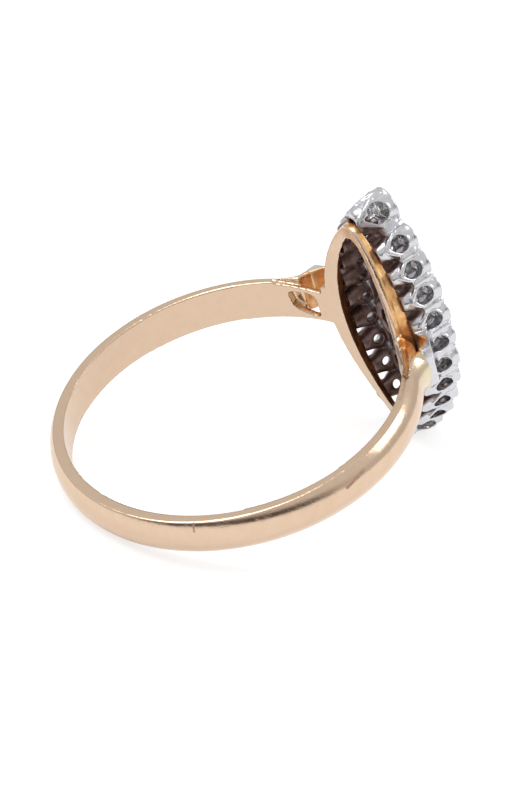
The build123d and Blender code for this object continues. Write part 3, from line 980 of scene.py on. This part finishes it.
@dataclass
class GoldShank:
    """The gold band with its shoulders, base rail and gallery wall.

    Attributes:
        finger_radius: Radius of the finger hole.
        crown_radius: Radius of the middle of the band's crown.
        crown_arc: Radius of the arc of the crown's section.
        catch: How near to a true surface a point is drawn onto it.
        head_angle: Angle from the head where the plain band begins, in degrees.
        rail_outline: Half length, half width and radius of the tips of the base rail.
        bead: Radius of the rounded edge on the rail.
        bead_lift: Height of its middle over the finger surface.
        bead_inset: How far its middle lies inside the rail's outline.
        bead_steps: Points of its middle line along a side and round a tip.
        voxel: Size of the grid that finds the skin.
        smooth_rounds: Rounds of smoothing after it.
        faces: Most triangles that the skin keeps.
        catch_core: Share of the catch inside which a point goes all the way.
        crown_share: How much of the arc of the crown's section is followed.
        head_fade: Half the angle over which the plain band begins, in degrees.
    """

    finger_radius: float = 8.5
    crown_radius: float = 9.36
    crown_arc: float = 1.5
    catch: float = 0.06
    head_angle: float = 46.0
    rail_outline: Point = (6.5, 3.12, 0.95)
    bead: float = 0.2
    bead_lift: float = 0.19
    bead_inset: float = 0.13
    bead_steps: tuple[int, int] = (60, 14)
    voxel: float = 0.065
    smooth_rounds: int = 6
    faces: int = 190000
    catch_core: float = 0.4
    crown_share: float = 0.98
    head_fade: float = 2.0

    def build(self, ring: RingFrame, material: bpy.types.Material) -> bpy.types.Object:
        """Build the shank.

        Args:
            ring: The ring frame.
            material: The worn gold.

        Returns:
            The piece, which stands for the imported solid.
        """
        work = MeshWork("gold_shank")
        work.add_node(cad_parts["shank"], ring)
        work.add_tube(self.bead_path(), self.bead, closed=True)
        voxel = self.voxel * 1
        work.weld(voxel, self.smooth_rounds, self.faces)
        work.move(self.true_up)
        work.move(ring.lift)
        piece = work.finish(ring)
        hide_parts("shank")
        dress(piece, material)
        return piece

    def bead_path(self) -> list[Vector]:
        """Return the middle line of the rounded edge that runs round the rail."""
        half_length, half_width, tip = self.rail_outline
        radius = (half_length ** 2 + half_width ** 2) / (2 * half_width)
        offset = radius - half_width
        inner = radius - self.bead_inset
        tip_offset = math.sqrt((radius - tip) ** 2 - offset ** 2)
        turn = math.atan2(tip_offset, offset)
        side_steps, tip_steps = self.bead_steps
        spans = []
        for middle, size, low, high, steps in (
                ((-offset, 0.0), inner, -turn, turn, side_steps),
                ((0.0, tip_offset), tip - self.bead_inset, turn, math.pi - turn, tip_steps),
                ((offset, 0.0), inner, math.pi - turn, math.pi + turn, side_steps),
                ((0.0, -tip_offset), tip - self.bead_inset, math.pi + turn, 2 * math.pi - turn, tip_steps)):
            for number in range(steps):
                angle = low + (high - low) * number / steps
                spans.append((middle[0] + size * math.cos(angle), middle[1] + size * math.sin(angle)))
        return [Vector((self.over_finger(across) + self.bead_lift, across, along)) for across, along in spans]

    def over_finger(self, across: float) -> float:
        """Return the height of the finger surface at a place across the finger."""
        return math.sqrt(self.finger_radius ** 2 - across ** 2)

    def true_up(self, points: np.ndarray) -> np.ndarray:
        """Draw points that lie close to the finger hole or the plain crown onto the true surface.

        Args:
            points: Points of the skin.

        Returns:
            The points, drawn onto the surface.
        """
        flat = points[:, :2]
        radius = np.linalg.norm(flat, axis=1)
        reach = self.crown_arc * self.crown_share
        along = np.clip(points[:, 2], -reach, reach)
        crown = self.crown_radius - self.crown_arc + np.sqrt(self.crown_arc ** 2 - along ** 2)
        angle = np.degrees(np.arccos(np.clip(flat[:, 0] / radius, -1, 1)))
        core = self.catch * self.catch_core
        near_finger = fade(np.abs(radius - self.finger_radius), self.catch, core)
        near_crown = fade(np.abs(radius - crown), self.catch, core)
        near_crown *= fade(angle, self.head_angle - self.head_fade, self.head_angle + self.head_fade)
        goal = radius + near_finger * (self.finger_radius - radius) + near_crown * (crown - radius)
        moved = points.copy()
        moved[:, :2] = flat * (goal / radius)[:, None]
        return moved


@dataclass
class PlatinumTop:
    """The platinum head: collets with windows, claws, middle row and shoulder caps.

    Attributes:
        layout: Sizes that the collets share.
        voxel: Size of the grid that finds the skin.
        smooth_rounds: Rounds of smoothing after it.
        faces: Most triangles that the skin keeps.
        rim_wire: Radius of the rolled rims.
        rim_sink: How far a rim lies inside and below its edge, as shares of its wire.
        lip_wire: Radius of the cut edge round a window.
        claw_wire: Radius of the ridges that run down between the windows.
        filler: Radii of the metal that fills the notches between two rims.
        filler_height: Height of its middle.
        filler_out: How far its middle stands outside the row.
        tip_filler_share: Share of that beside a collet of a tip.
        foot_bulge: Radii of the rounded swelling of a cup below its window.
        foot_height: Height of the middle of that swelling.
        foot_out: How far its middle stands outside the axis of the cup.
        sink: How far the feet and the caps go down into the solder.
        caps_from: How far across the caps begin.
        cap_sinks: Heights between which a cap goes down into the solder.
        foot_sinks: Heights between which the foot of a cup goes down into it.
        window_middle: Height of the middle of a window.
        window_share: Its radius, as a share of the stone's.
        tip_window_share: That share for the windows of the tips.
        tip_window_turn: How far those are turned to each side, in degrees.
        tip_window_middle: Height of their middle.
        window_point: How far the point of a window reaches below its circle.
        window_flank: Angle at which the circle goes over into the point, in degrees.
        ridge_run: One side of the ridge round a window, sideways and up, in radii of the window.
        ridge_proud: How far the ridge stands off the wall.
        shoulder: Height below which a cup tapers.
        taper: How much it tapers with the height.
        widest: Largest place to the side that counts, as a share of the cup's radius.
        loop_steps: Points round a rim and round a window.
        wire_sides: Number of faces round a wire.
        waves: Length and depth of the waves of hand work.
    """

    layout: HeadLayout = field(default_factory=HeadLayout)
    voxel: float = 0.05
    smooth_rounds: int = 3
    faces: int = 196000
    rim_wire: float = 0.09
    rim_sink: tuple[float, float] = (0.6, 0.5)
    lip_wire: float = 0.05
    claw_wire: float = 0.095
    filler: Point = (0.46, 0.34, 0.42)
    filler_height: float = 10.42
    filler_out: float = 0.33
    tip_filler_share: float = 0.4
    foot_bulge: Point = (0.44, 0.36, 0.55)
    foot_height: float = 9.32
    foot_out: float = 0.22
    sink: float = 0.12
    caps_from: float = 4.0
    cap_sinks: Reach = (8.8, 8.45)
    foot_sinks: Reach = (9.2, 9.0)
    window_middle: float = 9.94
    window_share: float = 0.95
    tip_window_share: float = 0.78
    tip_window_turn: float = 58.0
    tip_window_middle: float = 9.84
    window_point: float = 0.15
    window_flank: float = 35.0
    ridge_run: tuple[tuple[float, float], ...] = (
        (-1.28, 1.15),
        (-1.26, 0.5),
        (-1.18, 0.0),
        (-0.85, -0.85),
        (-0.35, -1.45),
        (0.0, -1.62),
    )
    ridge_proud: float = 0.02
    shoulder: float = 9.75
    taper: float = 0.5
    widest: float = 0.95
    loop_steps: tuple[int, int] = (28, 16)
    wire_sides: int = 8
    waves: tuple[float, float] = (1.1, 0.035)

    def build(self, ring: RingFrame, material: bpy.types.Material) -> bpy.types.Object:
        """Build the platinum head.

        Args:
            ring: The ring frame.
            material: The worn platinum.

        Returns:
            The piece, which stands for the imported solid.
        """
        work = MeshWork("platinum_head")
        work.add_node(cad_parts["navette_top"], ring)
        row = self.layout.collets()
        for number, collet in enumerate(row):
            self.add_rim(work, collet)
            self.add_filler(work, collet, row[(number + 1) % len(row)])
            self.add_foot(work, collet)
            for turn in (-self.tip_window_turn, self.tip_window_turn) if collet.at_tip else (0.0,):
                self.add_lip(work, collet, turn)
                self.add_ridge(work, collet, turn)
        voxel = self.voxel * 1
        work.weld(voxel, self.smooth_rounds, self.faces)
        work.roughen(*self.waves)
        work.move(self.settle)
        work.move(ring.lift)
        piece = work.finish(ring)
        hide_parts("navette_top")
        dress(piece, material)
        return piece

    def add_rim(self, work: MeshWork, collet: Collet) -> None:
        """Add the rolled rim round the mouth of a collet.

        Args:
            work: The mesh to add to.
            collet: The collet.
        """
        inset, lowered = self.rim_sink
        radius = self.layout.radius(collet) - self.rim_wire * inset
        height = self.layout.rim - self.layout.drop(collet.along) - self.rim_wire * lowered
        steps = self.loop_steps[0]
        loop = [Vector((height, collet.across + radius * math.cos(a), collet.along + radius * math.sin(a)))
                for a in (2 * math.pi * k / steps for k in range(steps))]
        work.add_tube(loop, self.rim_wire, closed=True, sides=self.wire_sides)

    def add_filler(self, work: MeshWork, collet: Collet, other: Collet) -> None:
        """Add the metal that fills the notch between a collet and the next one.

        Args:
            work: The mesh to add to.
            collet: The collet.
            other: The next one in the row.
        """
        share = collet.stone_radius / (collet.stone_radius + other.stone_radius)
        across = collet.across + share * (other.across - collet.across)
        along = collet.along + share * (other.along - collet.along)
        out = (Vector(collet.outward) + Vector(other.outward)).normalized()
        turn = Matrix(((1, 0, 0), (0, out.x, -out.y), (0, out.y, out.x)))
        share = 1.0 if collet.at_tip == other.at_tip else self.tip_filler_share
        reach = self.filler_out * share
        height = self.filler_height - self.layout.drop(along)
        work.add_ball((height, across + reach * out.x, along + reach * out.y), self.filler, turn)

    def add_foot(self, work: MeshWork, collet: Collet) -> None:
        """Add the rounded swelling of a cup below its window.

        Args:
            work: The mesh to add to.
            collet: The collet.
        """
        out = collet.outward
        turn = Matrix(((1, 0, 0), (0, out[0], -out[1]), (0, out[1], out[0])))
        reach = self.foot_out + (self.layout.tip_stone - self.layout.side_stone if collet.at_tip else 0.0)
        height = self.foot_height - self.layout.drop(collet.along)
        work.add_ball((height, collet.across + reach * out[0], collet.along + reach * out[1]),
                      self.foot_bulge, turn)

    def on_wall(self, collet: Collet, turn: float, sideways: float, height: float,
                proud: float = 0.0) -> Vector:
        """Return a place on the outer side of a collet.

        Args:
            collet: The collet.
            turn: How far the window is turned from facing outward, in degrees.
            sideways: How far to the side of the window's middle it is.
            height: Its height.
            proud: How far it stands off the wall.

        Returns:
            The place.
        """
        outer = self.layout.radius(collet)
        facing = math.atan2(collet.outward[1], collet.outward[0]) + math.radians(turn)
        angle = facing + math.asin(max(-self.widest, min(self.widest, sideways / outer)))
        reach = outer * (1 - max(0.0, self.shoulder - height) * self.taper) + proud
        across = collet.across + reach * math.cos(angle)
        return Vector((height, across, collet.along + reach * math.sin(angle)))

    def window(self, collet: Collet) -> tuple[float, float]:
        """Return the radius of a collet's window and the height of its middle."""
        drop = self.layout.drop(collet.along)
        if collet.at_tip:
            return self.tip_window_share * collet.stone_radius, self.tip_window_middle - drop
        return self.window_share * collet.stone_radius, self.window_middle - drop

    def add_lip(self, work: MeshWork, collet: Collet, turn: float) -> None:
        """Add the bright cut edge round a window.

        Args:
            work: The mesh to add to.
            collet: The collet.
            turn: How far the window is turned from facing outward, in degrees.
        """
        size, middle = self.window(collet)
        start = -math.radians(self.window_flank)
        angles = np.linspace(start, math.pi - start, self.loop_steps[1])
        outline = [(size * math.cos(a), size * math.sin(a)) for a in angles]
        outline.append((0.0, -size - self.window_point))
        loop = [self.on_wall(collet, turn, sideways, middle + up) for sideways, up in outline]
        work.add_tube(loop, self.lip_wire, closed=True, sides=self.wire_sides)

    def add_ridge(self, work: MeshWork, collet: Collet, turn: float) -> None:
        """Add the pointed ridge that runs down both sides of a window and meets below it.

        Args:
            work: The mesh to add to.
            collet: The collet.
            turn: How far the window is turned from facing outward, in degrees.
        """
        size, middle = self.window(collet)
        outline = list(self.ridge_run) + [(-sideways, up) for sideways, up in reversed(self.ridge_run[:-1])]
        path = [self.on_wall(collet, turn, sideways * size, middle + up * size, self.ridge_proud)
                for sideways, up in outline]
        work.add_tube(path, self.claw_wire, sides=self.wire_sides)

    def settle(self, points: np.ndarray) -> np.ndarray:
        """Let the feet of the collets and the shoulder caps down into the solder.

        Args:
            points: Points of the skin.

        Returns:
            The points, with the low ones let down.
        """
        moved = points.copy()
        at_cap = np.abs(points[:, 1]) > self.caps_from
        low = np.where(at_cap, fade(points[:, 0], *self.cap_sinks), fade(points[:, 0], *self.foot_sinks))
        moved[:, 0] -= self.sink * low
        return moved


class Stones:
    """The cut stones, which keep their packed facets and get a clear material."""

    def dress(self, material: bpy.types.Material) -> int:
        """Give every stone the material.

        Args:
            material: The clear stone.

        Returns:
            How many stones were dressed.
        """
        names = [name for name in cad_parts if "stone" in name]
        for name in names:
            dress(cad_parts[name], material)
        return len(names)


@dataclass(frozen=True)
class Softbox:
    """One large soft lamp of the studio.

    Attributes:
        name: Its name.
        place: Where it hangs, in metres.
        size: Its side, in metres.
        power: Its power in watts.
        colour: Its colour.
    """

    name: str
    place: Point
    size: float
    power: float
    colour: tuple[float, float, float] = (1.0, 1.0, 1.0)

    def hang(self, target: Point) -> None:
        """Hang the lamp, facing a target.

        Args:
            target: Where it points.
        """
        lamp = bpy.data.lights.new(self.name, "AREA")
        lamp.shape = "SQUARE"
        lamp.size = self.size
        lamp.energy = self.power
        lamp.color = self.colour
        made = bpy.data.objects.new(self.name, lamp)
        made.location = self.place
        made.rotation_euler = (Vector(target) - Vector(self.place)).to_track_quat("-Z", "Y").to_euler()
        bpy.context.scene.collection.objects.link(made)


@dataclass
class Studio:
    """The pale floor, the soft lamps and the pale room round them.

    Attributes:
        floor_half: Half the side of the floor, in metres.
        floor_colour: Colour of the floor.
        floor_roughness: Its roughness.
        floor_glow: How strongly the paper glows by itself.
        room_low: Colour of the room near the horizon.
        room_dark: Colour of its one dark side.
        room_high: Colour of the ceiling.
        dark_towards: Direction of the dark side.
        dark_reach: How nearly a direction must match that one to turn dark.
        rise_reach: Rises between which the walls go over into the ceiling.
        room_strength: Strength of the room's light.
        lamps: The lamps.
        target: Where the lamps point, in metres.
    """

    floor_half: float = 0.6
    floor_colour: Colour = (0.42, 0.42, 0.42, 1.0)
    floor_roughness: float = 0.8
    floor_glow: float = 0.68
    room_low: Colour = (0.85, 0.84, 0.83, 1.0)
    room_dark: Colour = (0.10, 0.08, 0.07, 1.0)
    room_high: Colour = (1.0, 1.0, 1.0, 1.0)
    dark_towards: Point = (-0.75, -0.66, 0.0)
    dark_reach: Reach = (0.35, 0.75)
    rise_reach: Reach = (0.22, 0.42)
    room_strength: float = 0.8
    lamps: tuple[Softbox, ...] = (
        Softbox("key_lamp", (-0.12, 0.10, 0.30), 0.16, 0.34),
        Softbox("fill_lamp", (0.25, -0.15, 0.22), 0.16, 0.26),
    )
    target: Point = (0.0, 0.0, 0.005)

    def build(self) -> None:
        """Build the floor, the lamps and the room."""
        mesh = bpy.data.meshes.new("floor")
        half = self.floor_half
        mesh.from_pydata([(-half, -half, 0), (half, -half, 0), (half, half, 0), (-half, half, 0)], [],
                         [(0, 1, 2, 3)])
        floor = bpy.data.objects.new("floor", mesh)
        bpy.context.scene.collection.objects.link(floor)
        made, _, shader = open_material("pale_paper")
        shader.inputs["Base Color"].default_value = self.floor_colour
        shader.inputs["Roughness"].default_value = self.floor_roughness
        shader.inputs["Emission Color"].default_value = (1.0, 1.0, 1.0, 1.0)
        shader.inputs["Emission Strength"].default_value = self.floor_glow
        mesh.materials.append(made)
        for lamp in self.lamps:
            lamp.hang(self.target)
        world = bpy.data.worlds.new("room")
        world.use_nodes = True
        background = world.node_tree.nodes["Background"]
        desk = NodeDesk(world.node_tree)
        rise = desk.add("ShaderNodeSeparateXYZ")
        way = desk.add("ShaderNodeTexCoord").outputs["Generated"]
        desk.link(way, rise, "Vector")
        facing = desk.add("ShaderNodeVectorMath", operation="DOT_PRODUCT")
        world.node_tree.links.new(way, facing.inputs[0])
        facing.inputs[1].default_value = self.dark_towards
        dark = desk.stretch(facing.outputs["Value"], *self.dark_reach)
        walls = desk.blend(dark, self.room_low, self.room_dark)
        light = desk.blend(desk.stretch(rise.outputs["Z"], *self.rise_reach), walls, self.room_high)
        desk.link(light, background, "Color")
        background.inputs["Strength"].default_value = self.room_strength
        bpy.context.scene.world = world
        bpy.context.scene.view_settings.view_transform = "Standard"


@dataclass(frozen=True)
class Viewpoint:
    """The camera, given in the ring frame.

    Attributes:
        eye: Where it stands, in ring millimetres.
        down: Direction to the bottom of its picture.
        view: Direction that it looks in.
        lens: Focal length, in millimetres.
        sensor: Width of the sensor, in millimetres.
        nearest: Nearest distance that it sees, in metres.
    """

    eye: Point = (-81.10, -173.24, 153.37)
    down: Point = (-0.506, -0.424, -0.751)
    view: Point = (0.337, 0.705, -0.625)
    lens: float = 226.4
    sensor: float = 36.0
    nearest: float = 0.001

    def stand(self, ring: RingFrame) -> None:
        """Stand the camera in the scene.

        Args:
            ring: The ring frame.
        """
        data = bpy.data.cameras.new("camera")
        data.lens = self.lens
        data.sensor_width = self.sensor
        data.clip_start = self.nearest
        camera = bpy.data.objects.new("camera", data)
        back = -ring.direction(self.view).normalized()
        up = -ring.direction(self.down)
        right = up.cross(back).normalized()
        up = back.cross(right)
        turn = Matrix((right, up, back)).transposed().to_4x4()
        camera.matrix_world = Matrix.Translation(ring.point(self.eye)) @ turn
        bpy.context.scene.collection.objects.link(camera)
        bpy.context.scene.camera = camera


ROSE_GOLD = MetalFinish(
    metal=Metal.ROSE_GOLD,
    colour=(0.70, 0.525, 0.385, 1.0),
    warm=(0.67, 0.475, 0.33, 1.0),
    # Painted shade in the hollows of the gold.
    deep=(0.42, 0.20, 0.09, 1.0),
    hollow_shade_share=0.6,
    roughness=0.16,
    hollow_roughness=0.32,
    wave_scale=450.0,
    wave_height=0.035,
    scratches=0.5,
    stains_and_painted_light=(
        StainAndPaintedLight("pale", (0.70, 0.62, 0.45, 1.0), (0.70, 0.57, 0.40, 1.0), 900.0, 0.5, 0.2),
        # Painted orange reflection, bright orange with darker orange spots, on the gallery wall and in the
        # shoulder gaps.
        StainAndPaintedLight("heat", (0.98, 0.66, 0.33, 1.0), (0.80, 0.38, 0.13, 1.0), 1500.0, 0.3, 0.3),
        # Painted shade: dark brown, with spots of painted orange reflection.
        StainAndPaintedLight("painted_shade", (0.36, 0.15, 0.07, 1.0), (0.80, 0.38, 0.12, 1.0), 1500.0, 0.4, 0.4),
        StainAndPaintedLight("nick", (0.34, 0.20, 0.13, 1.0), (0.55, 0.36, 0.26, 1.0), 3000.0, 0.5, 0.4),
    ),
)
PLATINUM = MetalFinish(
    metal=Metal.PLATINUM,
    colour=(0.66, 0.66, 0.69, 1.0),
    warm=(0.58, 0.57, 0.59, 1.0),
    # Painted shade in the hollows of the platinum.
    deep=(0.36, 0.31, 0.30, 1.0),
    hollow_shade_share=0.35,
    roughness=0.2,
    hollow_roughness=0.35,
    wave_scale=1400.0,
    wave_height=0.03,
    scratches=0.5,
    stains_and_painted_light=(
        # Painted shade under the plate and between the low parts of the cups.
        StainAndPaintedLight("painted_shade", (0.15, 0.085, 0.07, 1.0), (0.27, 0.20, 0.185, 1.0), 1800.0, 0.25, 0.4),
        # Solder colour with painted warm reflection of the gold strap, on the inner face of the shoulder
        # caps.
        StainAndPaintedLight("solder", (0.86, 0.62, 0.38, 1.0), (0.72, 0.42, 0.20, 1.0), 1500.0, 0.2, 0.3),
    ),
)


def main() -> None:
    """Build the ring, its finishes, the studio and the camera, and report each piece."""
    logging.basicConfig(level=logging.INFO, format="%(name)s: %(message)s")
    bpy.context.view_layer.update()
    ring = RingFrame()
    effects = SharedEffects()
    marks = StainAndPaintedLightMap(ring, HeadLayout())
    shank = GoldShank().build(ring, ROSE_GOLD.material(effects, marks))
    LOG.info("gold shank: %d faces", len(shank.data.polygons))
    top = PlatinumTop().build(ring, PLATINUM.material(effects, marks))
    LOG.info("platinum head: %d faces", len(top.data.polygons))
    LOG.info("stones: %d dressed", Stones().dress(StoneFinish().material(effects)))
    Studio().build()
    Viewpoint().stand(ring)


if __name__ == "__main__":
    main()
